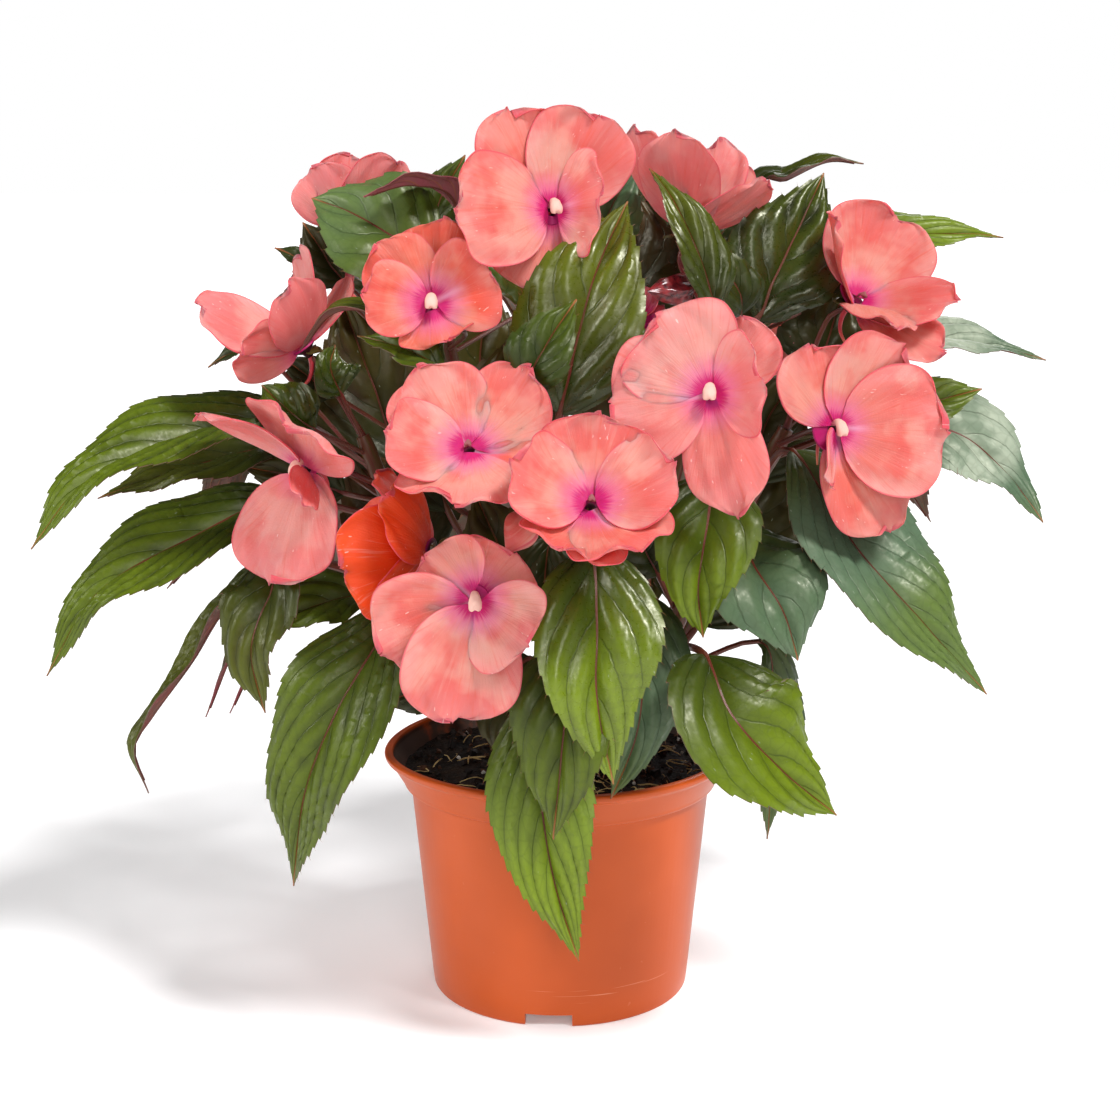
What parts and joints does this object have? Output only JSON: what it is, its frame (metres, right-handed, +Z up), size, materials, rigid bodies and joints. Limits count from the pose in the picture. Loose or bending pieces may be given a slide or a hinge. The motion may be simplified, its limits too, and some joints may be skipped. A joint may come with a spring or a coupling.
{
  "type": "potted flowering plant",
  "caption": "Bushy flowering balcony plant in a round nursery pot: toothed lance-shaped leaves on fleshy shoots, with broad flat salmon blooms above the foliage.",
  "frame": {"origin": "on the pot's axis, at the surface the pot stands on", "axes": "+Z up along the pot's axis, -Y towards the side seen in the picture, +X to that view's right"},
  "size_m": [0.3388, 0.2603, 0.3032],
  "materials": {
    "pot": "terracotta-coloured moulded plastic, soft gloss",
    "soil": "dark peat potting soil, crumbly and matt",
    "leaf": "dark green leaf, satin, reddish midrib and stem",
    "petal": "salmon-coral petal, velvety, magenta round the eye",
    "anther": "cream, matt",
    "wilted_bud": "dark wine red, satin, crumpled"
  },
  "bodies": {
    "root": {"pot": "pot", "soil": "soil", "shoot_back": "leaf", "shoot_back_left": "leaf", "shoot_back_right": "leaf", "shoot_centre": "leaf", "shoot_front": "leaf", "shoot_front_left": "leaf", "shoot_front_right": "leaf", "shoot_left": "leaf", "shoot_right": "leaf", "shoot_upper_left": "leaf", "shoot_upper_right": "leaf", "bloom_back_left": "petal", "bloom_back_right": "petal", "bloom_back_top": "petal", "bloom_behind": "petal", "bloom_far_left": "petal", "bloom_far_right": "petal", "bloom_large": "petal", "bloom_left": "petal", "bloom_low_front": "petal", "bloom_low_left": "petal", "bloom_low_middle": "petal", "bloom_middle": "petal", "bloom_middle_left": "petal", "bloom_right": "petal", "bloom_top": "petal", "bloom_upper_left": "petal", "bloom_upper_right": "petal", "anthers_back_left": "anther", "anthers_back_right": "anther", "anthers_back_top": "anther", "anthers_behind": "anther", "anthers_far_left": "anther", "anthers_far_right": "anther", "anthers_large": "anther", "anthers_left": "anther", "anthers_low_front": "anther", "anthers_low_left": "anther", "anthers_low_middle": "anther", "anthers_middle": "anther", "anthers_middle_left": "anther", "anthers_right": "anther", "anthers_top": "anther", "anthers_upper_left": "anther", "anthers_upper_right": "anther", "bud_pink": "petal", "bud_wilted": "wilted_bud"}
  },
  "joints": []
}
